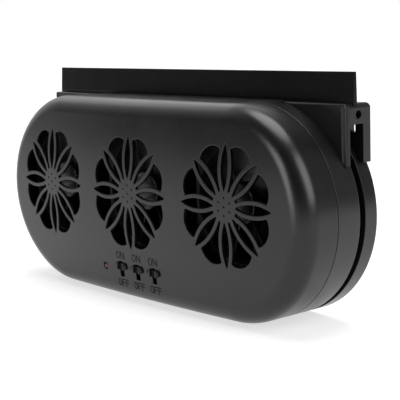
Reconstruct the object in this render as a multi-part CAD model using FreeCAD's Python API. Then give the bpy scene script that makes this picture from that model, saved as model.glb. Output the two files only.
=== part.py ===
import FreeCAD, Part
import math
import os
from FreeCAD import Vector as V

os.makedirs("parts", exist_ok=True)

# ---------------------------------------------------------------------------
# Solar ventilator that hangs on a side-window glass. Millimetres.
# Row frame: +X along the long side, -Y the cabin side (grilles), +Z up.
# Origin: centre of the footprint, Z = 0 on the straight bottom edge.
# "d" below is depth behind the foremost point of the front cover,
# "z" is height above the centre line of the rounded housing.
# ---------------------------------------------------------------------------
LENGTH = 320.0          # housing, end to end
R_END = 69.5            # radius of the rounded ends = half the housing height
A = LENGTH / 2 - R_END  # arc centres at x = +-A
DEPTH = 69.6            # front cover to rear face
YF = -DEPTH / 2
ZC = R_END
WALL = 2.4
R_FRONT = 13.6          # roll-over of the front edge
DOME_RX = 1920.0        # front face crown, along X and along Z
DOME_RZ = 392.0
D_PART = 35.2           # parting plane between front cover and inner rear cover
PART_GAP = 0.35
D_INNER = 54.2          # rear face of the inner housing (rests on the glass)
D_OUTER = 59.2          # front face of the outer shell: 5 mm gap for the glass
D_REAR = 69.6

PITCH = 95.0            # fan spacing
Z_FAN = 7.0             # fan axis above the centre line
FANS = (("left", -PITCH), ("center", 0.0), ("right", PITCH))

# grille
R_TIP = 39.2
R_IN = 9.5
PETAL_W = 6.3
RIB = 2.75
SCALLOP_R = 12.3
SCALLOP_C = 26.9
R_WEDGE = 10.2
HOLE_RING = 5.6
HOLE_R = 0.65

# saddle over the glass
X_SAD = 155.4
D_SAD0 = 48.8
D_SAD1 = 51.2
D_SLOT1 = 63.1
Z_SAD0 = 33.3
Z_SAD_F = 31.4
Z_SAD_R = 32.6
Z_SLOT = 56.4
Z_SAD1 = 68.7
X_FIN = 155.0
Z_FIN = 87.6
END_HOLE_R = 2.6
END_WALL = 4.0
DUCT = ((-84.0, -34.0), (-27.0, 27.0), (34.0, 84.0))
Z_DUCT0, Z_DUCT1 = 58.8, 66.2

# fans
FAN = 80.0
D_FAN0, D_FAN1 = 15.0, 30.0
FAN_HOLE = 35.75
R_DUCT = 37.7
R_BLADE = 36.7
R_HUB = 13.6
R_SHAFT = 1.5
BEAR_CLEAR = 0.03

# controls
SW_X = (-13.5, 4.4, 22.3)
SW_Z0, SW_Z1 = -52.9, -42.1   # slot ends
SLOT_W = 4.6
KNOB_H = 4.8
KNOB_W = 13.0
KNOB_VALLEY = 2.3       # half width of the thumb valley
TRAVEL = 4.3
LED_X, LED_Z = -32.5, -47.6
BOARD = (-41.0, 33.0, 11.5, 13.1, -56.3, -37.5)

# solar panel
PANEL_W, PANEL_H = 216.0, 92.0


def y(d):
    return YF + d


def stadium_face(r, d):
    p = [V(-A, y(d), ZC + r), V(A, y(d), ZC + r), V(A + r, y(d), ZC), V(A, y(d), ZC - r), V(-A, y(d), ZC - r), V(-A - r, y(d), ZC)]
    e = [Part.LineSegment(p[0], p[1]), Part.Arc(p[1], p[2], p[3]), Part.LineSegment(p[3], p[4]), Part.Arc(p[4], p[5], p[0])]
    return Part.Face(Part.Wire([s.toShape() for s in e]))


def stadium(r, d0, d1):
    return stadium_face(r, d0).extrude(V(0, d1 - d0, 0))


def box(x0, x1, d0, d1, z0, z1):
    return Part.makeBox(x1 - x0, d1 - d0, z1 - z0, V(x0, y(d0), ZC + z0))


def cyl(r, x, z, d0, d1):
    return Part.makeCylinder(r, d1 - d0, V(x, y(d0), ZC + z), V(0, 1, 0))


def cylx(r, x0, x1, d, z):
    return Part.makeCylinder(r, x1 - x0, V(x0, y(d), ZC + z), V(1, 0, 0))


def ring(r1, r0, x, z, d0, d1):
    return cyl(r1, x, z, d0, d1).cut(cyl(r0, x, z, d0 - 1, d1 + 1))


def crown_cut(off):
    """Everything in front of the doubly curved front surface, sunk by off."""
    r = DOME_RZ - off
    h = 85.0
    de = DOME_RZ - math.sqrt(r * r - h * h)
    a = V(0, y(de), ZC - h)
    b = V(0, y(off), ZC)
    c = V(0, y(de), ZC + h)
    e = [Part.Arc(a, b, c).toShape(), Part.makeLine(c, V(0, y(-30), ZC + h)),
         Part.makeLine(V(0, y(-30), ZC + h), V(0, y(-30), ZC - h)), Part.makeLine(V(0, y(-30), ZC - h), a)]
    f = Part.Face(Part.Wire(e))
    ax = V(0, YF + DOME_RX, ZC)
    f.rotate(ax, V(0, 0, 1), -6.0)
    return f.revolve(ax, V(0, 0, 1), 12.0)


def prism(points, d0, d1):
    w = Part.makePolygon([V(a, y(d0), ZC + b) for a, b in points] + [V(points[0][0], y(d0), ZC + points[0][1])])
    return Part.Face(w).extrude(V(0, d1 - d0, 0))


def profile_x(points, x0, x1):
    w = Part.makePolygon([V(x0, y(a), ZC + b) for a, b in points] + [V(x0, y(points[0][0]), ZC + points[0][1])])
    return Part.Face(w).extrude(V(x1 - x0, 0, 0))


def group(solids):
    return Part.makeCompound([s for x in solids for s in x.Solids])


def fuse(first, *rest):
    out = first
    for r in rest:
        out = out.fuse(r)
    return out.removeSplitter()


def save(name, shape):
    solids = shape.Solids
    assert solids, name
    for s in solids:
        assert s.isValid(), name
    out = solids[0] if len(solids) == 1 else Part.makeCompound(solids)
    out.exportStep("parts/%s.step" % name)
    print("%-24s %2d solid(s) %10.1f mm3" % (name, len(solids), sum(s.Volume for s in solids)))


def front_face_d(x, z):
    """Depth of the outer front face at (x, z), inside the roll-over."""
    r = DOME_RX - DOME_RZ + math.sqrt(DOME_RZ ** 2 - z * z)
    return DOME_RX - math.sqrt(r * r - x * x)


# ---- front cover ----------------------------------------------------------
def cover_blank(off, d_end):
    s = stadium(R_END - off, -5, d_end).cut(crown_cut(off)).Solids[0]
    edges = [e for e in s.Edges if e.BoundBox.YMax < YF + 16]
    return s.makeFillet(R_FRONT - off, edges)


blank = cover_blank(0.0, D_PART - PART_GAP / 2)
hollow = cover_blank(WALL, D_PART + 5)
front = blank.cut(hollow)


def turned(points, xc, ang, d):
    """Local grille points (r, t) turned to the angle ang about a fan axis."""
    c, s = math.cos(ang), math.sin(ang)
    return [V(xc + r * c - t * s, y(d), ZC + Z_FAN + r * s + t * c) for r, t in points]


def rounded_prism(edges, depth, radii):
    """Extrude a closed outline backwards and round its corners; radii pairs a local corner with its radius."""
    s = Part.Face(Part.Wire(edges)).extrude(V(0, depth, 0))
    for r in sorted(set(q for _, q in radii)):
        pts = [p for p, q in radii if q == r]
        sel = [e for e in s.Edges if e.BoundBox.YLength > depth - 0.1
               and any(math.hypot(e.Vertexes[0].X - p.x, e.Vertexes[0].Z - p.z) < 0.01 for p in pts)]
        s = s.makeFillet(r, sel)
    return s


def petal(xc, ang):
    """Leaf-shaped opening bounded by two arcs."""
    m = (R_IN + R_TIP) / 2
    p = turned([(R_IN, 0), (m, PETAL_W / 2), (R_TIP, 0), (m, -PETAL_W / 2)], xc, ang, -4)
    return rounded_prism([Part.Arc(p[0], p[1], p[2]).toShape(), Part.Arc(p[2], p[3], p[0]).toShape()], 16, [])


CH = (R_TIP - R_IN) / 2
R_ARC = (CH ** 2 + (PETAL_W / 2) ** 2) / PETAL_W
OFFC = R_ARC - PETAL_W / 2


def scallop(xc, ang):
    """Wide opening between two leaves: a round head narrowing to the centre between the ribs."""
    h = math.radians(22.5)
    m = (R_IN + R_TIP) / 2
    cx, cz = m * math.cos(h) - OFFC * math.sin(h), m * math.sin(h) + OFFC * math.cos(h)
    rr = R_ARC + RIB
    # the rib's outer arc meets the head circle
    dx, dz = SCALLOP_C - cx, -cz
    dd = math.hypot(dx, dz)
    aa = (rr ** 2 - SCALLOP_R ** 2 + dd ** 2) / (2 * dd)
    hh = math.sqrt(rr ** 2 - aa ** 2)
    cand = [(cx + aa * dx / dd + sg * hh * dz / dd, cz + aa * dz / dd - sg * hh * dx / dd) for sg in (-1, 1)]
    px, pz = max(cand)
    zi = cz - math.sqrt(rr ** 2 - (R_WEDGE - cx) ** 2)
    mx, mz = (px + R_WEDGE) / 2, (pz + zi) / 2
    k = rr / math.hypot(mx - cx, mz - cz)
    mx, mz = cx + (mx - cx) * k, cz + (mz - cz) * k
    p = turned([(R_WEDGE, -zi), (mx, -mz), (px, -pz), (SCALLOP_C + SCALLOP_R, 0), (px, pz), (mx, mz), (R_WEDGE, zi)], xc, ang, -4)
    return rounded_prism([Part.Arc(p[0], p[1], p[2]).toShape(), Part.Arc(p[2], p[3], p[4]).toShape(),
                          Part.Arc(p[4], p[5], p[6]).toShape(), Part.makeLine(p[6], p[0])], 16,
                         [(p[0], 0.55), (p[6], 0.55), (p[2], 0.9), (p[4], 0.9)])


cuts = []
for _, xc in FANS:
    for k in range(8):
        cuts.append(petal(xc, math.radians(90 + 45 * k)))
        cuts.append(scallop(xc, math.radians(112.5 + 45 * k)))
    cuts.append(cyl(HOLE_R, xc, Z_FAN, -4, 12))
    for k in range(6):
        t = math.radians(90 + 60 * k)
        cuts.append(cyl(HOLE_R, xc + HOLE_RING * math.cos(t), Z_FAN + HOLE_RING * math.sin(t), -4, 12))
front = front.cut(Part.makeCompound(cuts))

# switch slots and indicator hole
SW_ZC = (SW_Z0 + SW_Z1) / 2
ctl = []
for x in SW_X:
    b = box(x - SLOT_W / 2, x + SLOT_W / 2, -4, 12, SW_Z0, SW_Z1)
    ctl.append(b.makeFillet(0.5, [e for e in b.Edges if abs(e.Vertexes[0].Y - e.Vertexes[1].Y) > 1]))
ctl.append(cyl(2.6, LED_X, LED_Z, -4, 12))
front = front.cut(Part.makeCompound(ctl))

# bosses on the inside of the cover
inside = blank.cut(stadium(R_END + 5, -20, 2.0))
COVER_BOSS = [(-95.0, -56.5), (0.0, -61.0), (95.0, -56.5), (-47.5, 57.0), (47.5, 57.0), (-141.0, -22.0), (141.0, -22.0)]
add, holes = [], []
for x, z in COVER_BOSS:
    add.append(cyl(3.4, x, z, 3.0, D_PART - 2.0))
    holes.append(cyl(1.45, x, z, 18.0, D_PART + 1))
for _, xc in FANS:
    for sx in (-1, 1):
        for sz in (-1, 1):
            add.append(cyl(3.6, xc + sx * FAN_HOLE, Z_FAN + sz * FAN_HOLE, 3.0, D_FAN0))
            holes.append(cyl(1.75, xc + sx * FAN_HOLE, Z_FAN + sz * FAN_HOLE, 8.6, D_FAN0 + 1))
BOARD_BOSS = [(-38.0, -53.4), (30.2, -53.4), (-22.5, -40.2), (13.3, -40.2)]
for x, z in BOARD_BOSS:
    add.append(cyl(2.4, x, z, 3.0, BOARD[2]))
    holes.append(cyl(0.95, x, z, 7.2, BOARD[2] + 1))
solid_in = cover_blank(WALL - 0.3, D_PART - 0.1)
bosses = [a.common(solid_in) for a in add]
for b in bosses:
    front = front.fuse(b)
front = front.cut(Part.makeCompound(holes))
front = front.removeSplitter()
save("front_cover", front)

# ---- inner rear cover -----------------------------------------------------
tray = stadium(R_END, D_PART + PART_GAP / 2, D_INNER)
tray = tray.cut(stadium(R_END - WALL, D_PART - 1, D_INNER - WALL))
lip = stadium(R_END - WALL - 0.12, D_PART - 3.5, D_PART + 4).cut(stadium(R_END - WALL - 1.6, D_PART - 4, D_PART + 5))
lip = lip.fuse(stadium(R_END - WALL + 0.2, D_PART + 0.4, D_PART + 4).cut(stadium(R_END - WALL - 1.6, D_PART - 4, D_PART + 5)))
tray = tray.fuse(lip)
for x, z in COVER_BOSS:
    tray = tray.fuse(cyl(3.8, x, z, D_PART - 1.6, D_INNER - 1))
cut = []
for x, z in COVER_BOSS:
    cut.append(cyl(1.7, x, z, D_PART - 6, D_INNER + 1))
    cut.append(cyl(3.1, x, z, D_INNER - 6.0, D_INNER + 1))
for x0, x1 in DUCT:
    cut.append(box(x0, x1, D_INNER - 6, D_INNER + 1, Z_DUCT0, Z_DUCT1))
SAD_SCREW = [(-92.0, 62.4), (-30.5, 62.4), (30.5, 62.4), (92.0, 62.4)]
for x, z in SAD_SCREW:
    cut.append(cyl(1.7, x, z, D_INNER - 6, D_INNER + 1))
# notches where the saddle wings enter at both ends
cut.append(box(-200, -80, D_SAD0 - 0.05, D_SAD1 + 0.05, Z_SAD0 - 0.05, Z_SAD1 + 0.05).cut(stadium(R_END - WALL + 0.8, 0, 80)))
cut.append(box(80, 200, D_SAD0 - 0.05, D_SAD1 + 0.05, Z_SAD0 - 0.05, Z_SAD1 + 0.05).cut(stadium(R_END - WALL + 0.8, 0, 80)))
tray = tray.cut(Part.makeCompound(cut)).removeSplitter()
save("inner_rear_cover", tray)

# ---- outer cover ----------------------------------------------------------
OW = 2.2
oc = stadium(R_END, D_OUTER, D_REAR)
oc = oc.cut(stadium(R_END - OW, D_OUTER + OW, D_REAR - 4.4))
oc = oc.cut(stadium(R_END - OW - 2.0, D_REAR - 5.0, D_REAR + 1))
oc = oc.cut(stadium(R_END - OW, D_REAR - 2.0, D_REAR + 1))
BEZEL_SCREW = [(-128.0, 46.0), (128.0, 46.0), (-128.0, -46.0), (128.0, -46.0), (0.0, -59.5), (-118.0, 0.0), (118.0, 0.0)]
for x, z in BEZEL_SCREW:
    oc = oc.fuse(cyl(3.2, x, z, D_OUTER + 1, D_REAR - 2.0))
POSTS = [(sx * 100.0, sz * 40.0) for sx in (-1, 1) for sz in (-1, 1)]
for x, z in POSTS:
    oc = oc.fuse(cyl(3.0, x, z, D_OUTER + 1, 65.2))
for x, z in SAD_SCREW:
    oc = oc.fuse(cyl(3.4, x, z, D_OUTER + 1, 66.2))
cut = [cyl(1.25, x, z, D_OUTER + 2.4, D_REAR) for x, z in BEZEL_SCREW]
cut += [cyl(1.45, x, z, D_OUTER - 1, 65.0) for x, z in SAD_SCREW]
cut += [box(x0, x1, D_OUTER - 1, D_OUTER + 6, Z_DUCT0, Z_DUCT1) for x0, x1 in DUCT]
# notches for the saddle's rear wall
keep_in = stadium(R_END - OW + 0.8, 0, 90)
for x0, x1 in ((-200, -80), (80, 200)):
    cut.append(box(x0, x1, D_SLOT1 - 0.05, D_REAR + 1, Z_SAD0 - 0.05, Z_SAD1 + 0.05).cut(keep_in))
oc = oc.cut(Part.makeCompound(cut)).removeSplitter()
save("outer_cover", oc)

# ---- saddle ---------------------------------------------------------------
u = box(-X_SAD, X_SAD, D_SAD0, D_REAR, Z_SAD_F, Z_SAD1)
fil = [e for e in u.Edges if abs(e.BoundBox.YMin - y(D_SAD0)) < 0.01 and e.BoundBox.YLength < 0.01
       and abs(e.BoundBox.ZLength) > 5]
u = u.makeFillet(2.6, fil)
top = [e for e in u.Edges if e.BoundBox.ZMin > ZC + Z_SAD1 - 0.01]
u = u.makeFillet(1.2, top)
slot = box(-200, 200, D_SAD1, D_SLOT1, Z_SAD_F - 5, Z_SLOT)
u = u.cut(slot)
u = u.cut(box(-200, 200, D_SLOT1 - 1, D_REAR + 1, Z_SAD_F - 5, Z_SAD_R))
for s in (-1, 1):
    # the top of each end falls off in a shallow arc that meets the end face at a crease
    p1, pm, p3 = [V(s * q[0], y(40), ZC + q[1]) for q in ((X_SAD + 0.02, 66.2), (X_SAD - 1.15, 67.62), (X_SAD - 2.6, Z_SAD1 + 0.02))]
    p4, p5 = V(s * (X_SAD - 2.6), y(40), ZC + Z_SAD1 + 3), V(s * (X_SAD + 4), y(40), ZC + Z_SAD1 + 3)
    p6 = V(s * (X_SAD + 4), y(40), ZC + 66.2)
    w = Part.Wire([Part.Arc(p1, pm, p3).toShape()] + [Part.makeLine(a, b) for a, b in ((p3, p4), (p4, p5), (p5, p6), (p6, p1))])
    u = u.cut(Part.Face(w).extrude(V(0, 40, 0)))
    # raised bead down the front face just before each end
    u = u.fuse(box(s * 151.3 - 0.5, s * 151.3 + 0.5, D_SAD0 - 0.15, D_SAD0 + 0.5, Z_SAD_F, Z_SAD1 - 1.6))
    u = u.fuse(Part.makeCylinder(0.5, Z_SAD1 - 1.6 - Z_SAD_F, V(s * 151.3, y(D_SAD0 - 0.15), ZC + Z_SAD_F)))
    # shallow recess between the bead and the corner
    u = u.cut(box(s * 152.85 - 0.45, s * 152.85 + 0.45, D_SAD0 - 1, D_SAD0 + 0.35, Z_SAD_F - 1, Z_SAD1 - 2.4))
# hollow rear wall and hollow top block, closed at the ends
inner_block = stadium(R_END + 0.06, -5, D_INNER + 0.05)
outer_block = stadium(R_END + 0.06, D_OUTER - 0.05, D_REAR + 10)
u = u.cut(inner_block).cut(outer_block)
# tabs that slip inside the covers' notches
for s in (-1, 1):
    x0, x1 = (80, 200) if s > 0 else (-200, -80)
    tab = box(x0, x1, D_SAD0 + 0.05, D_SAD1 - 0.05, Z_SAD0 + 0.05, Z_SAD1 - 3).common(
        stadium(R_END + 1.0, 0, 90)).cut(stadium(R_END - WALL + 0.9, 0, 90))
    tab = tab.common(box(-X_SAD + 3, X_SAD - 3, 0, 90, -90, 90))
    u = u.fuse(tab)
    tab = box(x0, x1, D_SLOT1 + 0.05, D_REAR - 2.2, Z_SAD0 + 0.05, Z_SAD1 - 3).common(
        stadium(R_END + 1.0, 0, 90)).cut(stadium(R_END - OW + 0.9, 0, 90))
    tab = tab.common(box(-X_SAD + 3, X_SAD - 3, 0, 90, -90, 90))
    u = u.fuse(tab)
cut = [box(x0, x1, D_INNER - 1, D_OUTER + 1, Z_DUCT0, Z_DUCT1) for x0, x1 in DUCT]
cut += [cyl(1.7, x, z, D_INNER - 1, D_OUTER + 1) for x, z in SAD_SCREW]
for s in (-1, 1):
    # blind round socket for a side seal strip's pin, and a latch window beside it
    x0, x1 = (X_SAD - 14.0, X_SAD + 1) if s > 0 else (-X_SAD - 1, -X_SAD + 14.0)
    cut.append(cylx(END_HOLE_R, x0, x1, 59.0, 62.0))
    x0, x1 = (142.4, 149.0) if s > 0 else (-149.0, -142.4)
    cut.append(box(x0, x1, D_SLOT1 - 1, D_REAR + 1, 50.7, 55.2))
# groove for the fin
cut.append(box(-X_FIN - 0.03, X_FIN + 0.03, 55.12, 58.28, Z_SAD1 - 1.2, Z_SAD1 + 1))
u = u.cut(Part.makeCompound(cut)).removeSplitter()
save("window_saddle", u)

# ---- fin ------------------------------------------------------------------
fin = profile_x([(55.2, Z_SAD1 - 1.2), (58.2, Z_SAD1 - 1.2), (58.2, Z_SAD1 + 2.0), (57.7, Z_FIN), (56.3, Z_FIN), (55.2, Z_SAD1 + 2.0)], -X_FIN, X_FIN)
fe = [e for e in fin.Edges if e.BoundBox.ZMin > ZC + Z_FIN - 0.01 and e.BoundBox.XLength > 10]
fin = fin.makeFillet(0.5, fe)
ve = [e for e in fin.Edges if e.BoundBox.ZMin > ZC + Z_FIN - 1.0 and e.BoundBox.XLength < 0.01 and e.BoundBox.ZLength < 0.01]
save("channel_fin", fin)

# foam strip at the top of the glass slot
save("glass_edge_pad", box(-88, 88, D_INNER + 0.25, D_OUTER - 0.25, Z_SLOT - 1.4, Z_SLOT))

# ---- rear bezel and solar panel -------------------------------------------
bz = stadium(R_END - OW - 0.12, D_REAR - 2.0, D_REAR - 0.2)
hx, hz = PANEL_W / 2, PANEL_H / 2
win = box(-hx, hx, D_REAR - 3, D_REAR + 1, -hz, hz)
win = win.makeFillet(4.0, [e for e in win.Edges if e.BoundBox.YLength > 2])
bz = bz.cut(win)
cut = []
for s in (-1, 1):
    for k in range(5):
        xx = s * (123.0 + 6.0 * k)
        hh = min(30.0, math.sqrt(max((R_END - 12.0) ** 2 - (abs(xx) - A) ** 2, 0.0)) - 4.0, 38.0)
        for zc in (-1, 1):
            z0, z1 = (6.0, max(hh, 14.0)) if zc > 0 else (-max(hh, 14.0), -6.0)
            v = box(xx - 1.6, xx + 1.6, D_REAR - 3, D_REAR + 1, z0, z1)
            cut.append(v.makeFillet(1.5, [e for e in v.Edges if e.BoundBox.YLength > 2]))
for x, z in BEZEL_SCREW:
    cut.append(cyl(1.4, x, z, D_REAR - 3, D_REAR + 1))
    cut.append(cyl(2.7, x, z, D_REAR - 1.1, D_REAR + 1))
for x0, x1 in ((-200, -80), (80, 200)):
    cut.append(box(x0, x1, D_REAR - 5, D_REAR + 1, Z_SAD0 - 0.1, Z_SAD1 + 0.1).cut(stadium(R_END - OW - 0.8, 0, 90)))
bz = bz.cut(Part.makeCompound(cut)).removeSplitter()
save("rear_bezel", bz)

save("solar_backing", box(-hx - 4, hx + 4, 65.2, 66.4, -hz - 4, hz + 4).cut(
    Part.makeCompound([cyl(3.5, x, z, 60, 70) for x, z in BEZEL_SCREW])))
cells = []
NX, NZ = 6, 2
gw, gh = (PANEL_W - 8) / NX, (PANEL_H - 8) / NZ
for i in range(NX):
    for j in range(NZ):
        x0, z0 = -PANEL_W / 2 + 4 + i * gw, -PANEL_H / 2 + 4 + j * gh
        cells.append(box(x0 + 0.6, x0 + gw - 0.6, 66.4, 66.7, z0 + 0.6, z0 + gh - 0.6))
save("solar_cells", group(cells))
gl = box(-hx + 0.15, hx - 0.15, 66.7, 69.2, -hz + 0.15, hz - 0.15)
gl = gl.makeFillet(3.8, [e for e in gl.Edges if e.BoundBox.YLength > 1])
gl = gl.makeFillet(0.6, [e for e in gl.Edges if e.BoundBox.YMin > y(69.2) - 0.01])
save("solar_glass", gl)


# ---- screws ---------------------------------------------------------------
def screw(x, z, r, d_tip, d_seat, rh, h):
    """Pan-head screw pointing to the front: the tip at d_tip, head from d_seat backwards."""
    s = cyl(r, x, z, d_tip + 1.0, d_seat)
    s = s.fuse(Part.makeCone(0.4, r, 1.0, V(x, y(d_tip), ZC + z), V(0, 1, 0)))
    head = cyl(rh, x, z, d_seat, d_seat + h)
    head = head.makeFillet(h * 0.4, [e for e in head.Edges if e.BoundBox.YMin > y(d_seat + h) - 0.01])
    head = head.cut(Part.makeBox(rh * 1.1, h * 0.5, 0.5, V(x - rh * 0.55, y(d_seat + h * 0.55), ZC + z - 0.25)))
    head = head.cut(Part.makeBox(0.5, h * 0.5, rh * 1.1, V(x - 0.25, y(d_seat + h * 0.55), ZC + z - rh * 0.55)))
    return s.fuse(head).removeSplitter()


save("cover_screws", group([screw(x, z, 1.42, D_PART - 12, D_INNER - 6.0, 2.8, 2.2) for x, z in COVER_BOSS]))
save("saddle_screws", group([fuse(cyl(1.42, x, z, D_INNER - WALL, 64.6), cyl(2.6, x, z, D_INNER - WALL - 2.0, D_INNER - WALL))
                             for x, z in SAD_SCREW]))
save("fan_screws", group([screw(xc + sx * FAN_HOLE, Z_FAN + sz * FAN_HOLE, 1.72, 9.0, D_FAN1, 3.2, 2.2)
                          for _, xc in FANS for sx in (-1, 1) for sz in (-1, 1)]))
save("board_screws", group([screw(x, z, 0.92, 7.6, BOARD[3], 1.9, 1.3) for x, z in BOARD_BOSS]))
save("bezel_screws", group([screw(x, z, 1.22, 62.0, D_REAR - 1.1, 2.3, 0.9) for x, z in BEZEL_SCREW]))

# ---- control board, switches, indicator -----------------------------------
x0, x1, d0, d1, z0, z1 = BOARD
board = box(x0, x1, d0, d1, z0, z1).cut(Part.makeCompound([cyl(1.0, x, z, d0 - 1, d1 + 1) for x, z in BOARD_BOSS]))
save("control_board", board)
sw = []
for x in SW_X:
    b = box(x - 5.0, x + 5.0, 6.9, d0, SW_Z0 - 1.6, SW_Z1 + 0.9)
    b = b.cut(box(x - 2.4, x + 2.4, 6.0, 9.8, SW_Z0 - 0.1, SW_Z1 + 0.1))
    sw.append(b)
save("switch_bodies", group(sw))
for name, x in zip(("left", "center", "right"), SW_X):
    zt = SW_Z1 - 0.9
    zb = zt - KNOB_H
    df = front_face_d(abs(x) + KNOB_W / 2 * 0, SW_Z1 - 0.2)
    back = df - 0.22
    w = KNOB_W / 2
    # low wing on each side, thumb valley between them over the slot
    q = lambda px, pd: V(px, y(pd), ZC + zb)
    pr = Part.Wire([
        Part.makeLine(q(x - w, back), q(x - w, back - 0.25)),
        Part.Arc(q(x - w, back - 0.25), q(x - w * 0.68, back - 0.8), q(x - KNOB_VALLEY - 0.15, back - 1.0)).toShape(),
        Part.makeLine(q(x - KNOB_VALLEY - 0.15, back - 1.0), q(x - KNOB_VALLEY, back - 0.3)),
        Part.makeLine(q(x - KNOB_VALLEY, back - 0.3), q(x + KNOB_VALLEY, back - 0.3)),
        Part.makeLine(q(x + KNOB_VALLEY, back - 0.3), q(x + KNOB_VALLEY + 0.15, back - 1.0)),
        Part.Arc(q(x + KNOB_VALLEY + 0.15, back - 1.0), q(x + w * 0.68, back - 0.8), q(x + w, back - 0.25)).toShape(),
        Part.makeLine(q(x + w, back - 0.25), q(x + w, back)),
        Part.makeLine(q(x + w, back), q(x - w, back))])
    cap = Part.Face(pr).extrude(V(0, 0, KNOB_H))
    rr = KNOB_H / 2
    lim = fuse(box(x - w + rr, x + w - rr, -6, 12, zb, zt), cyl(rr, x - w + rr, zb + rr, -6, 12), cyl(rr, x + w - rr, zb + rr, -6, 12))
    cap = cap.common(lim)
    stem = box(x - 2.1, x + 2.1, back - 0.05, 9.6, zb, zt)
    save("switch_knob_" + name, fuse(cap, stem))
led_pts = [(0.0, 2.9), (0.5, 2.9), (2.45, 5.3), (2.45, 9.2), (2.85, 9.2), (2.85, 10.2), (0.0, 10.2)]
lp = [V(LED_X + r, y(d), ZC + LED_Z) for r, d in led_pts]
lm = V(LED_X + 2.45 * math.sin(math.radians(50)), y(5.3 - 2.45 * math.cos(math.radians(50))), ZC + LED_Z)
led = Part.Face(Part.Wire([Part.makeLine(lp[0], lp[1]), Part.Arc(lp[1], lm, lp[2]).toShape()]
                          + [Part.makeLine(lp[i], lp[(i + 1) % 7]) for i in range(2, 7)])).revolve(V(LED_X, 0, ZC + LED_Z), V(0, 1, 0), 360)
leads = [box(LED_X + s * 1.27 - 0.25, LED_X + s * 1.27 + 0.25, 10.2, d0, LED_Z - 0.25, LED_Z + 0.25) for s in (-1, 1)]
save("indicator_led", fuse(led, *leads))
chips = [box(-4, 4, d1, d1 + 1.6, -47, -42), box(-30, -24, d1, d1 + 2.4, -48, -44), box(12, 15, d1, d1 + 1.2, -50, -48),
         cyl(3.0, 24.0, -50.0, d1, d1 + 7.0)]
save("board_components", group(chips))

# ---- fans -----------------------------------------------------------------


def blade(xc):
    """One twisted blade, lofted over three stations."""
    wires = []
    for r, chord, stag in ((12.6, 12.5, 46.0), (24.0, 17.5, 36.0), (38.2, 22.0, 27.0)):
        a = math.radians(stag)
        t = 0.75 if r < 20 else 0.6
        cam = 0.09 * chord
        pts = []
        for u, v in ((-0.5, 0.0), (0.0, cam), (0.5, 0.0)):
            pts.append((u * chord, v))

        def at(p, q):
            # p along the chord, q normal to it; chord leans from tangential towards +d
            return V(xc + p * math.cos(a) - q * math.sin(a), y(21.4 + p * math.sin(a) + q * math.cos(a)), ZC + Z_FAN + r)
        up = Part.Arc(at(-chord / 2, t * 0.5), at(0, cam + t), at(chord / 2, t * 0.5)).toShape()
        lo = Part.Arc(at(chord / 2, -t * 0.5), at(0, cam - t), at(-chord / 2, -t * 0.5)).toShape()
        e1 = Part.makeLine(at(chord / 2, t * 0.5), at(chord / 2, -t * 0.5))
        e2 = Part.makeLine(at(-chord / 2, -t * 0.5), at(-chord / 2, t * 0.5))
        wires.append(Part.Wire([up, e1, lo, e2]))
    return Part.makeLoft(wires, True, False)


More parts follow.
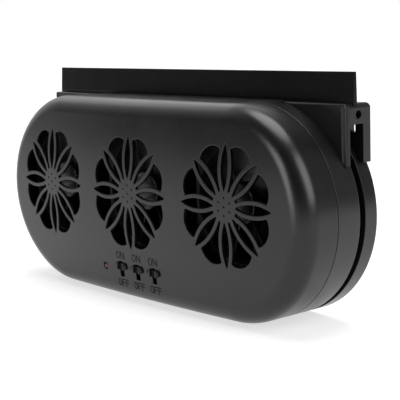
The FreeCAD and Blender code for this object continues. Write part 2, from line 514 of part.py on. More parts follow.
for name, xc in FANS:
    fr = box(xc - FAN / 2, xc + FAN / 2, D_FAN0, D_FAN1, Z_FAN - FAN / 2, Z_FAN + FAN / 2)
    fr = fr.makeFillet(4.0, [e for e in fr.Edges if e.BoundBox.YLength > 5])
    fr = fr.cut(cyl(R_DUCT, xc, Z_FAN, 10, 40))
    hub = fuse(cyl(14.2, xc, Z_FAN, 28.4, D_FAN1),
               box(xc - 38.5, xc + 38.5, 28.4, D_FAN1, Z_FAN - 1.8, Z_FAN + 1.8),
               box(xc - 1.8, xc + 1.8, 28.4, D_FAN1, Z_FAN - 38.5, Z_FAN + 38.5),
               cyl(4.0, xc, Z_FAN, 18.7, 29.0))
    fr = fr.fuse(hub).cut(cyl(3.0, xc, Z_FAN, 10, 28.4))
    fr = fr.cut(Part.makeCompound([cyl(2.2, xc + sx * FAN_HOLE, Z_FAN + sz * FAN_HOLE, 10, 40) for sx in (-1, 1) for sz in (-1, 1)]))
    save("fan_frame_" + name, fr.removeSplitter())

    cup = cyl(R_HUB, xc, Z_FAN, 15.2, 26.6)
    cup = cup.makeFillet(1.2, [e for e in cup.Edges if e.BoundBox.YMax < y(15.2) + 0.01])
    cup = cup.cut(cyl(12.3, xc, Z_FAN, 17.0, 30)).fuse(cyl(3.2, xc, Z_FAN, 16.8, 18.2))
    b0 = blade(xc)
    lim = cyl(R_BLADE, xc, Z_FAN, 10, 32).cut(cyl(12.9, xc, Z_FAN, 9, 33))
    b0 = b0.common(lim)
    imp = cup
    for k in range(7):
        bk = b0.copy()
        bk.rotate(V(xc, 0, ZC + Z_FAN), V(0, 1, 0), 360.0 * k / 7)
        imp = imp.fuse(bk)
    imp = imp.cut(cyl(R_SHAFT, xc, Z_FAN, 16.2, 20)).removeSplitter()
    save("impeller_" + name, imp)
    save("rotor_magnet_" + name, ring(12.3, 11.0, xc, Z_FAN, 17.4, 26.2))
    save("shaft_" + name, cyl(R_SHAFT, xc, Z_FAN, 16.2, 27.8))
    save("bearing_" + name, ring(3.0, R_SHAFT + BEAR_CLEAR, xc, Z_FAN, 18.9, 28.0))
    core = ring(5.6, 4.0, xc, Z_FAN, 20.0, 24.2)
    arcs = ring(10.3, 9.0, xc, Z_FAN, 20.0, 24.2)
    gaps = [box(xc - 20, xc + 20, 19, 25, Z_FAN - 0.9, Z_FAN + 0.9), box(xc - 0.9, xc + 0.9, 19, 25, Z_FAN - 20, Z_FAN + 20)]
    for g in gaps:
        g.rotate(V(xc, 0, ZC + Z_FAN), V(0, 1, 0), 45)
    arcs = arcs.cut(Part.makeCompound(gaps))
    arms = fuse(box(xc - 9.4, xc + 9.4, 20.0, 24.2, Z_FAN - 1.2, Z_FAN + 1.2), box(xc - 1.2, xc + 1.2, 20.0, 24.2, Z_FAN - 9.4, Z_FAN + 9.4))
    arms = arms.cut(cyl(4.8, xc, Z_FAN, 10, 30))
    save("stator_core_" + name, fuse(core, arcs, arms))
    coils = []
    for k in range(4):
        c = box(xc + 5.9, xc + 8.55, 18.9, 25.3, Z_FAN - 2.4, Z_FAN + 2.4).cut(box(xc, xc + 12, 20.0, 24.2, Z_FAN - 1.2, Z_FAN + 1.2))
        c.rotate(V(xc, 0, ZC + Z_FAN), V(0, 1, 0), 90.0 * k)
        coils.append(c)
    save("stator_coils_" + name, group(coils))
    save("motor_board_" + name, ring(10.0, 4.0, xc, Z_FAN, 26.9, 27.9))


# ---- internal leads -------------------------------------------------------
def lead(points, r):
    """Round tube along straight runs joined by tangent arcs. Points are (x, d, z)."""
    p = [V(a, y(b), ZC + c) for a, b, c in points]
    edges, here = [], p[0]
    for i in range(1, len(p) - 1):
        u1 = (p[i] - p[i - 1])
        u2 = (p[i + 1] - p[i])
        l1, l2 = u1.Length, u2.Length
        u1.normalize()
        u2.normalize()
        turn = math.acos(max(-1.0, min(1.0, u1.dot(u2))))
        rad = 0.45 * min(l1, l2) / math.tan(turn / 2)
        t = 0.45 * min(l1, l2)
        a, b = p[i] - u1 * t, p[i] + u2 * t
        bis = u2 - u1
        bis.normalize()
        c = p[i] + bis * (rad / math.cos(turn / 2))
        m = c - bis * rad
        edges.append(Part.makeLine(here, a))
        edges.append(Part.Arc(a, m, b).toShape())
        here = b
    edges.append(Part.makeLine(here, p[-1]))
    path = Part.Wire(edges)
    dirn = (p[1] - p[0])
    dirn.normalize()
    prof = Part.Wire(Part.makeCircle(r, p[0], dirn))
    s = path.makePipeShell([prof], True, False)
    s = Part.Solid(s) if s.ShapeType == "Shell" else s
    print("  lead length %.1f, volume ratio %.3f" % (path.Length, s.Volume / (math.pi * r * r * path.Length)))
    return s


LEAD_R = 1.1
BZ = BOARD[3]
save("fan_lead_left", lead([(-95, 31.12, -6.0), (-95, 31.12, -36.0), (-72, 31.2, -50.0), (-48, 27.0, -53.5), (-33, 22.0, -52.0), (-33, BZ, -52.0)], LEAD_R))
save("fan_lead_center", lead([(6, 31.12, -5.5), (6, 31.12, -24.0), (5, 31.6, -40.0), (4, 24.0, -52.5), (4, BZ, -52.5)], LEAD_R))
save("fan_lead_right", lead([(95, 31.12, -6.0), (95, 31.12, -36.0), (72, 31.2, -50.0), (48, 27.0, -53.5), (18.5, 22.5, -54.0), (18.5, BZ, -54.0)], LEAD_R))
save("solar_lead", lead([(60, 65.8, PANEL_H / 2 + 4), (60, 65.8, 57.5), (60, 61.0, 62.6), (60, 51.0, 62.6), (60, 40.5, 57.5), (56, 35.8, 42.0), (48.5, 34.8, 14.0),
                         (47.5, 34.8, -18.0), (44, 32.0, -40.0), (30, 24.0, -47.5), (29, 18.0, -46.0), (29, BZ, -46.0)], LEAD_R))
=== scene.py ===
import bpy
import bmesh
import math
from mathutils import Vector, Matrix
from mathutils.geometry import delaunay_2d_cdt


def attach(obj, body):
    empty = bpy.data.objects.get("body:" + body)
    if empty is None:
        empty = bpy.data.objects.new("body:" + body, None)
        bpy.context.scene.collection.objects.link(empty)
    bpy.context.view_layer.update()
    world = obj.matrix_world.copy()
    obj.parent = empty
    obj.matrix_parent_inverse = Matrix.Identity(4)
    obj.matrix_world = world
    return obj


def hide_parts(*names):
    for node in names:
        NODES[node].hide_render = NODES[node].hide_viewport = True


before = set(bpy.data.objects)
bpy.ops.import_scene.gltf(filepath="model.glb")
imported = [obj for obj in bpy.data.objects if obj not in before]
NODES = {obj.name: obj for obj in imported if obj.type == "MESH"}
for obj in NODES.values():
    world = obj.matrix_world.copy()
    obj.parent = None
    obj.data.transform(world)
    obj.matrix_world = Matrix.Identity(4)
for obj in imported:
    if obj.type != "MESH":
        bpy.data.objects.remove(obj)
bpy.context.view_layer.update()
MM = 0.001
W_FRONT, W_BACK = 0.09, 0.95

# --------------------------------------------------------------------------
# dimensions shared with the design, in millimetres
# --------------------------------------------------------------------------
R_END, A, RF, WALL = 69.5, 90.5, 13.6, 2.4
YF, ZC = -34.8, 69.5
RX, RZ = 1920.0, 392.0
D_FRONT_END = 35.025
FANS = (-95.0, 0.0, 95.0)
Z_FAN = 7.0
R_TIP, R_IN, PETAL_W, RIB = 39.2, 9.5, 6.3, 2.75
SC_R, SC_C, R_WEDGE = 12.3, 26.9, 10.2
SW_X, SW_Z0, SW_Z1, SLOT_W = (-13.5, 4.4, 22.3), -52.9, -42.1, 4.6
LED_X, LED_Z = -32.5, -47.6


def dome(x, z):
    r = RX - RZ + math.sqrt(RZ * RZ - z * z)
    return RX - math.sqrt(r * r - x * x)


def dome_n(x, z):
    """Outward unit normal (x, d, z) of the crowned front; d points backwards."""
    e = 0.05
    gx = (dome(x + e, z) - dome(x - e, z)) / (2 * e)
    gz = (dome(x, z + e) - dome(x, z - e)) / (2 * e)
    n = Vector((gx, -1.0, gz))
    return n.normalized()


def P(x, d, z):
    return Vector((x * MM, (YF + d) * MM, (ZC + z) * MM))


# --------------------------------------------------------------------------
# procedural materials
# --------------------------------------------------------------------------
def nodes_of(mat):
    mat.use_nodes = True
    nt = mat.node_tree
    nt.nodes.clear()
    out = nt.nodes.new("ShaderNodeOutputMaterial")
    b = nt.nodes.new("ShaderNodeBsdfPrincipled")
    nt.links.new(b.outputs[0], out.inputs[0])
    return nt, b


def link(nt, a, b):
    nt.links.new(a, b)


def mapped_noise(nt, scale, detail=2.0, rough=0.5, vec=None):
    n = nt.nodes.new("ShaderNodeTexNoise")
    n.inputs["Scale"].default_value = scale
    n.inputs["Detail"].default_value = detail
    n.inputs["Roughness"].default_value = rough
    if vec is not None:
        link(nt, vec, n.inputs["Vector"])
    return n


def ramp(nt, src, lo, hi, c0, c1):
    r = nt.nodes.new("ShaderNodeMapRange")
    r.inputs["From Min"].default_value = lo
    r.inputs["From Max"].default_value = hi
    r.inputs["To Min"].default_value = c0
    r.inputs["To Max"].default_value = c1
    link(nt, src, r.inputs["Value"])
    return r.outputs["Result"]


def mix_col(nt, fac, a, b):
    m = nt.nodes.new("ShaderNodeMix")
    m.data_type = "RGBA"
    link(nt, fac, m.inputs["Factor"])
    m.inputs["A"].default_value = (*a, 1)
    m.inputs["B"].default_value = (*b, 1)
    return m.outputs["Result"]


def plastic(name, base, rough=0.42, grain=2600.0, bump=0.06, depth=0.00004, spec=0.5, vary=0.25, fleck=0.0, coat=0.0, edge=0.0005):
    """Moulded plastic: fine spark texture, soft roughness and colour drift, optional sparse dust flecks."""
    mat = bpy.data.materials.new(name)
    nt, b = nodes_of(mat)
    tc = nt.nodes.new("ShaderNodeTexCoord")
    fine = mapped_noise(nt, grain, 3.0, 0.55, tc.outputs["Object"])
    broad = mapped_noise(nt, 22.0, 3.0, 0.6, tc.outputs["Object"])
    darker = tuple(c * (1 - vary) for c in base)
    lighter = tuple(min(c * (1 + vary), 1) for c in base)
    col = mix_col(nt, ramp(nt, broad.outputs["Fac"], 0.3, 0.7, 0.0, 1.0), darker, lighter)
    if fleck > 0:
        v = nt.nodes.new("ShaderNodeTexVoronoi")
        v.inputs["Scale"].default_value = 420.0
        link(nt, tc.outputs["Object"], v.inputs["Vector"])
        f = ramp(nt, v.outputs["Distance"], 0.03, 0.09, fleck, 0.0)
        m = nt.nodes.new("ShaderNodeMix")
        m.data_type = "RGBA"
        link(nt, f, m.inputs["Factor"])
        link(nt, col, m.inputs["A"])
        m.inputs["B"].default_value = (0.22, 0.22, 0.23, 1)
        col = m.outputs["Result"]
    link(nt, col, b.inputs["Base Color"])
    rr = nt.nodes.new("ShaderNodeMath")
    rr.operation = "ADD"
    link(nt, ramp(nt, broad.outputs["Fac"], 0.25, 0.75, rough - 0.03, rough + 0.03), rr.inputs[0])
    link(nt, ramp(nt, fine.outputs["Fac"], 0.3, 0.7, -0.02, 0.02), rr.inputs[1])
    link(nt, rr.outputs[0], b.inputs["Roughness"])
    bp = nt.nodes.new("ShaderNodeBump")
    bp.inputs["Strength"].default_value = bump
    bp.inputs["Distance"].default_value = depth
    link(nt, fine.outputs["Fac"], bp.inputs["Height"])
    if edge:
        bv = nt.nodes.new("ShaderNodeBevel")
        bv.samples = 6
        bv.inputs["Radius"].default_value = edge
        link(nt, bv.outputs["Normal"], bp.inputs["Normal"])
    link(nt, bp.outputs["Normal"], b.inputs["Normal"])
    b.inputs["Specular IOR Level"].default_value = spec
    if coat:
        b.inputs["Coat Weight"].default_value = coat
        b.inputs["Coat Roughness"].default_value = 0.15
    return mat


def metal(name, base, rough=0.3, grain=900.0, bump=0.08, streak=None):
    mat = bpy.data.materials.new(name)
    nt, b = nodes_of(mat)
    b.inputs["Metallic"].default_value = 1.0
    tc = nt.nodes.new("ShaderNodeTexCoord")
    src = tc.outputs["Object"]
    if streak:
        mp = nt.nodes.new("ShaderNodeMapping")
        mp.inputs["Scale"].default_value = streak
        link(nt, src, mp.inputs["Vector"])
        src = mp.outputs[0]
    n = mapped_noise(nt, grain, 3.0, 0.6, src)
    link(nt, mix_col(nt, n.outputs["Fac"], tuple(c * 0.75 for c in base), base), b.inputs["Base Color"])
    link(nt, ramp(nt, n.outputs["Fac"], 0.2, 0.8, rough - 0.08, rough + 0.1), b.inputs["Roughness"])
    bp = nt.nodes.new("ShaderNodeBump")
    bp.inputs["Strength"].default_value = bump
    bp.inputs["Distance"].default_value = 0.00003
    link(nt, n.outputs["Fac"], bp.inputs["Height"])
    link(nt, bp.outputs["Normal"], b.inputs["Normal"])
    return mat


M = {}
M["housing"] = plastic("housing_abs", (0.0052, 0.0052, 0.0054), rough=0.29, spec=0.45)
M["front"] = plastic("front_abs", (0.0045, 0.0045, 0.0047), rough=0.29, spec=0.40)
M["rear"] = plastic("rear_abs", (0.0052, 0.0052, 0.0054), rough=0.29, spec=0.45, edge=0.0009)
M["saddle"] = plastic("saddle_abs", (0.006, 0.006, 0.0062), rough=0.30, spec=0.36, edge=0.0008)
M["fin"] = plastic("fin_abs", (0.003, 0.003, 0.0032), rough=0.28, fleck=0.12, bump=0.03, spec=0.12)
M["fan_frame"] = plastic("fan_frame_pbt", (0.004, 0.004, 0.0042), rough=0.5)
M["impeller"] = plastic("impeller_pbt", (0.004, 0.004, 0.0042), rough=0.26, bump=0.03, spec=0.32, edge=0.0003)
M["knob"] = plastic("knob_abs", (0.0035, 0.0035, 0.0037), rough=0.34, bump=0.05, spec=0.24, edge=0.00025)
# the ridge material is a darker, less shiny copy of the knob plastic: painted shade on the knob's middle strip
M["ridge"] = plastic("knob_ridge", (0.0012, 0.0012, 0.0012), rough=0.5, bump=0.05, spec=0.05, edge=0.0002)
M["print"] = plastic("black_print", (0.0012, 0.0012, 0.0013), rough=0.55, spec=0.06, bump=0.03, edge=0)
M["switch"] = plastic("switch_body", (0.01, 0.01, 0.01), rough=0.5)
M["foam"] = plastic("closed_cell_foam", (0.012, 0.012, 0.012), rough=0.9, grain=1400.0, bump=0.5, depth=0.0002)
M["lead"] = plastic("pvc_sleeve", (0.12, 0.008, 0.008), rough=0.4)
M["component"] = plastic("component_body", (0.012, 0.012, 0.013), rough=0.5)
M["magnet"] = metal("ferrite", (0.10, 0.09, 0.09), rough=0.6)
M["steel"] = metal("ground_steel", (0.62, 0.62, 0.64), rough=0.22, streak=(8, 1, 8))
M["bronze"] = metal("sintered_bronze", (0.50, 0.33, 0.16), rough=0.5, grain=4000.0)
M["core"] = metal("lamination_steel", (0.38, 0.38, 0.40), rough=0.4, streak=(0.2, 12, 0.2))
M["copper"] = metal("enamelled_copper", (0.62, 0.24, 0.09), rough=0.28, grain=2200.0, streak=(1, 6, 1))
M["screw"] = metal("zinc_plated", (0.52, 0.52, 0.54), rough=0.28)


def board_material():
    mat = bpy.data.materials.new("green_board")
    nt, b = nodes_of(mat)
    tc = nt.nodes.new("ShaderNodeTexCoord")
    v = nt.nodes.new("ShaderNodeTexVoronoi")
    v.distance = "MANHATTAN"
    v.feature = "DISTANCE_TO_EDGE" if False else "F1"
    v.inputs["Scale"].default_value = 260.0
    link(nt, tc.outputs["Object"], v.inputs["Vector"])
    link(nt, mix_col(nt, ramp(nt, v.outputs["Distance"], 0.25, 0.4, 0.0, 1.0), (0.015, 0.09, 0.035), (0.02, 0.16, 0.06)), b.inputs["Base Color"])
    b.inputs["Roughness"].default_value = 0.3
    return mat


def cell_material():
    """Silicon cells: dark blue with silver fingers and two busbars, drawn in X and Z."""
    mat = bpy.data.materials.new("silicon_cell")
    nt, b = nodes_of(mat)
    tc = nt.nodes.new("ShaderNodeTexCoord")
    sep = nt.nodes.new("ShaderNodeSeparateXYZ")
    link(nt, tc.outputs["Object"], sep.inputs[0])

    def lines(src, per_m, width):
        m = nt.nodes.new("ShaderNodeMath")
        m.operation = "MULTIPLY"
        m.inputs[1].default_value = per_m
        link(nt, src, m.inputs[0])
        f = nt.nodes.new("ShaderNodeMath")
        f.operation = "FRACT"
        link(nt, m.outputs[0], f.inputs[0])
        c = nt.nodes.new("ShaderNodeMath")
        c.operation = "LESS_THAN"
        c.inputs[1].default_value = width
        link(nt, f.outputs[0], c.inputs[0])
        return c.outputs[0]
    fing = lines(sep.outputs["Z"], 500.0, 0.07)
    bus = lines(sep.outputs["X"], 1000.0 / 17.3333, 0.055)
    mx = nt.nodes.new("ShaderNodeMath")
    mx.operation = "MAXIMUM"
    link(nt, fing, mx.inputs[0])
    link(nt, bus, mx.inputs[1])
    n = mapped_noise(nt, 60.0, 2.0, 0.5, tc.outputs["Object"])
    base = mix_col(nt, n.outputs["Fac"], (0.006, 0.011, 0.045), (0.014, 0.026, 0.095))
    m = nt.nodes.new("ShaderNodeMix")
    m.data_type = "RGBA"
    link(nt, mx.outputs[0], m.inputs["Factor"])
    link(nt, base, m.inputs["A"])
    m.inputs["B"].default_value = (0.22, 0.23, 0.26, 1)
    link(nt, m.outputs["Result"], b.inputs["Base Color"])
    link(nt, ramp(nt, mx.outputs[0], 0.0, 1.0, 0.25, 0.4), b.inputs["Roughness"])
    return mat


def clear_material():
    mat = bpy.data.materials.new("clear_potting")
    nt, b = nodes_of(mat)
    b.inputs["Base Color"].default_value = (0.93, 0.96, 0.98, 1)
    b.inputs["Transmission Weight"].default_value = 1.0
    b.inputs["IOR"].default_value = 1.5
    tc = nt.nodes.new("ShaderNodeTexCoord")
    n = mapped_noise(nt, 40.0, 2.0, 0.5, tc.outputs["Object"])
    link(nt, ramp(nt, n.outputs["Fac"], 0.3, 0.7, 0.02, 0.07), b.inputs["Roughness"])
    return mat


def led_painted_glow_material():
    mat = bpy.data.materials.new("red_lens_painted_glow")
    nt, b = nodes_of(mat)
    b.inputs["Transmission Weight"].default_value = 0.35
    b.inputs["IOR"].default_value = 1.5
    # painted glow: the lens colour is brighter where it faces the viewer and darker toward grazing view
    lw = nt.nodes.new("ShaderNodeLayerWeight")
    lw.inputs["Blend"].default_value = 0.4
    link(nt, mix_col(nt, lw.outputs["Facing"], (0.11, 0.003, 0.009), (0.05, 0.001, 0.004)), b.inputs["Base Color"])
    b.inputs["Roughness"].default_value = 0.08
    # weak red emission: a painted glow on the unlit lens
    b.inputs["Emission Color"].default_value = (0.9, 0.02, 0.08, 1)
    b.inputs["Emission Strength"].default_value = 0.012
    return mat


M["board"] = board_material()
M["cell"] = cell_material()
M["clear"] = clear_material()
M["led"] = led_painted_glow_material()


def mat_for(n):
    if n == "front_cover":
        return M["front"]
    if n == "inner_rear_cover":
        return M["rear"]
    if n in ("outer_cover", "rear_bezel"):
        return M["housing"]
    if n == "window_saddle":
        return M["saddle"]
    if n == "channel_fin":
        return M["fin"]
    for key, m in (("fan_frame", "fan_frame"), ("impeller", "impeller"), ("switch_knob", "knob"), ("switch_bodies", "switch"),
                   ("rotor_magnet", "magnet"), ("shaft", "steel"), ("bearing", "bronze"), ("stator_core", "core"),
                   ("stator_coils", "copper"), ("motor_board", "board"), ("control_board", "board"), ("solar_backing", "board"),
                   ("board_components", "component"), ("indicator_led", "led"), ("solar_cells", "cell"), ("solar_glass", "clear"),
                   ("glass_edge_pad", "foam")):
        if n.startswith(key):
            return M[m]
    if n.endswith("_screws"):
        return M["screw"]
    return M["lead"]


for n, o in NODES.items():
    o.data.materials.clear()
    o.data.materials.append(mat_for(n))

# --------------------------------------------------------------------------
# the front cover, rebuilt finely: crowned face, rolled edge, rounded ribs
# --------------------------------------------------------------------------


def arc(cx, cz, r, a0, a1, step):
    n = max(int(abs(a1 - a0) * r / step), 2)
    return [(cx + r * math.cos(a0 + (a1 - a0) * i / n), cz + r * math.sin(a0 + (a1 - a0) * i / n)) for i in range(n + 1)]


def clean_loop(pts, eps=0.02):
    out = []
    for p in pts:
        if not out or math.dist(p, out[-1]) > eps:
            out.append(p)
    if math.dist(out[0], out[-1]) < eps:
        out.pop()
    area = sum(out[i - 1][0] * out[i][1] - out[i][0] * out[i - 1][1] for i in range(len(out)))
    return out if area > 0 else out[::-1]


def round_corners(pts, corners, radius, seg=5):
    """Replace the polygon's sharp corners (given as points) by arcs of about that radius."""
    n = len(pts)
    out = []
    skip = {}
    for c in corners:
        i = min(range(n), key=lambda k: math.dist(pts[k], c))
        skip[i] = True
    # cumulative arc length, so that a point at a given distance along the outline can be found
    def walk(i, dist, sgn):
        acc, k = 0.0, i
        while True:
            k2 = (k + sgn) % n
            step = math.dist(pts[k], pts[k2])
            if acc + step >= dist:
                t = (dist - acc) / step
                return (pts[k][0] + (pts[k2][0] - pts[k][0]) * t, pts[k][1] + (pts[k2][1] - pts[k][1]) * t), k2
            acc += step
            k = k2
    drop = set()
    ins = {}
    for i in skip:
        pa, _ = walk(i, 0.6, -1)
        pb, _ = walk(i, 0.6, 1)
        u = Vector(pa) - Vector(pts[i])
        v = Vector(pb) - Vector(pts[i])
        u.normalize()
        v.normalize()
        half = math.acos(max(-1, min(1, u.dot(v)))) / 2
        t = radius / math.tan(half)
        p0, k0 = walk(i, t, -1)
        p1, k1 = walk(i, t, 1)
        bis = (u + v).normalized()
        c = Vector(pts[i]) + bis * (radius / math.sin(half))
        a0 = math.atan2(p0[1] - c.y, p0[0] - c.x)
        a1 = math.atan2(p1[1] - c.y, p1[0] - c.x)
        da = (a1 - a0 + math.pi) % (2 * math.pi) - math.pi
        ins[i] = [(c.x + radius * math.cos(a0 + da * q / seg), c.y + radius * math.sin(a0 + da * q / seg)) for q in range(seg + 1)]
        k = i
        while k != k0:
            drop.add(k)
            k = (k - 1) % n
        k = i
        while k != k1:
            drop.add(k)
            k = (k + 1) % n
    for k in range(n):
        if k in ins:
            out += ins[k]
        elif k not in drop:
            out.append(pts[k])
    return out


def place(pts, xc, ang):
    c, s = math.cos(ang), math.sin(ang)
    return [(xc + r * c - t * s, Z_FAN + r * s + t * c) for r, t in pts]


CH = (R_TIP - R_IN) / 2
R_ARC = (CH ** 2 + (PETAL_W / 2) ** 2) / PETAL_W
OFFC = R_ARC - PETAL_W / 2
MID = (R_IN + R_TIP) / 2


def petal_loop():
    h = math.asin(CH / R_ARC)
    up = arc(MID, -OFFC, R_ARC, math.pi / 2 + h, math.pi / 2 - h, 0.8)
    lo = arc(MID, OFFC, R_ARC, -math.pi / 2 + h, -math.pi / 2 - h, 0.8)
    pts = clean_loop(up + lo)
    return clean_loop(round_corners(pts, [(R_IN, 0), (R_TIP, 0)], 0.22, 6), 0.01)


def scallop_loop():
    h = math.radians(22.5)
    cx, cz = MID * math.cos(h) - OFFC * math.sin(h), MID * math.sin(h) + OFFC * math.cos(h)
    rr = R_ARC + RIB
    dx, dz = SC_C - cx, -cz
    dd = math.hypot(dx, dz)
    aa = (rr ** 2 - SC_R ** 2 + dd ** 2) / (2 * dd)
    hh = math.sqrt(rr ** 2 - aa ** 2)
    px, pz = max((cx + aa * dx / dd + sg * hh * dz / dd, cz + aa * dz / dd - sg * hh * dx / dd) for sg in (-1, 1))
    zi = cz - math.sqrt(rr ** 2 - (R_WEDGE - cx) ** 2)
    a_h = math.atan2(pz, px - SC_C)
    head = arc(SC_C, 0, SC_R, -a_h, a_h, 0.8)
    b0 = math.atan2(pz - cz, px - cx)
    b1 = math.atan2(zi - cz, R_WEDGE - cx)
    side = arc(cx, cz, rr, b0, b1, 0.8)
    low = [(x, -z) for x, z in side[::-1]]
    pts = clean_loop(head + side + low)
    pts = clean_loop(round_corners(pts, [(px, pz), (px, -pz)], 0.9, 6), 0.01)
    return clean_loop(round_corners(pts, [(R_WEDGE, zi), (R_WEDGE, -zi)], 0.5, 5), 0.01)


PETAL, SCAL = petal_loop(), scallop_loop()
loops = []      # (points, edge round)
for xc in FANS:
    for k in range(8):
        loops.append((clean_loop(place(PETAL, xc, math.radians(90 + 45 * k)), 0.005), 0.45))
        loops.append((clean_loop(place(SCAL, xc, math.radians(112.5 + 45 * k)), 0.005), 0.45))
    for cx, cz in [(xc, Z_FAN)] + [(xc + 5.6 * math.cos(math.radians(90 + 60 * k)), Z_FAN + 5.6 * math.sin(math.radians(90 + 60 * k))) for k in range(6)]:
        loops.append((clean_loop(arc(cx, cz, 0.65, 0, 2 * math.pi, 0.35)), 0.15))
for x in SW_X:
    r = 0.5
    x0, x1, z0, z1 = x - SLOT_W / 2, x + SLOT_W / 2, SW_Z0, SW_Z1
    pts = arc(x1 - r, z0 + r, r, -math.pi / 2, 0, 0.2) + arc(x1 - r, z1 - r, r, 0, math.pi / 2, 0.2) \
        + arc(x0 + r, z1 - r, r, math.pi / 2, math.pi, 0.2) + arc(x0 + r, z0 + r, r, math.pi, 1.5 * math.pi, 0.2)
    loops.append((clean_loop(pts), 0.25))
loops.append((clean_loop(arc(LED_X, LED_Z, 2.6, 0, 2 * math.pi, 0.45)), 0.3))


def loop_normals(pts):
    """Unit normals pointing from the opening into the material (away from a counter-clockwise loop's inside)."""
    out = []
    n = len(pts)
    for i in range(n):
        a, b, c = Vector(pts[i - 1]), Vector(pts[i]), Vector(pts[(i + 1) % n])
        t1, t2 = (b - a).normalized(), (c - b).normalized()
        t = (t1 + t2).normalized()
        out.append(Vector((t.y, -t.x)))
    return out


def spine_points(step=2.0):
    """Stations round the stadium: (centre x, unit outward direction)."""
    out = []
    n = int(2 * A / step)
    for i in range(n):
        out.append((-A + 2 * A * i / n, (0.0, 1.0)))
    m = 72
    for i in range(m):
        a = math.pi / 2 - math.pi * i / m
        out.append((A, (math.cos(a), math.sin(a))))
    for i in range(n):
        out.append((A - 2 * A * i / n, (0.0, -1.0)))
    for i in range(m):
        a = -math.pi / 2 - math.pi * i / m
        out.append((-A, (math.cos(a), math.sin(a))))
    return out


SPINE = spine_points()


def contact(cx, u):
    al = 0.08
    for _ in range(8):
        rho = R_END - RF + RF * math.sin(al)
        x, z = cx + u[0] * rho, u[1] * rho
        n = dome_n(x, z)
        slope = (n.x * u[0] + n.z * u[1]) / -n.y
        al = math.atan(slope)
    return al, rho, dome(x, z) + RF * math.cos(al)


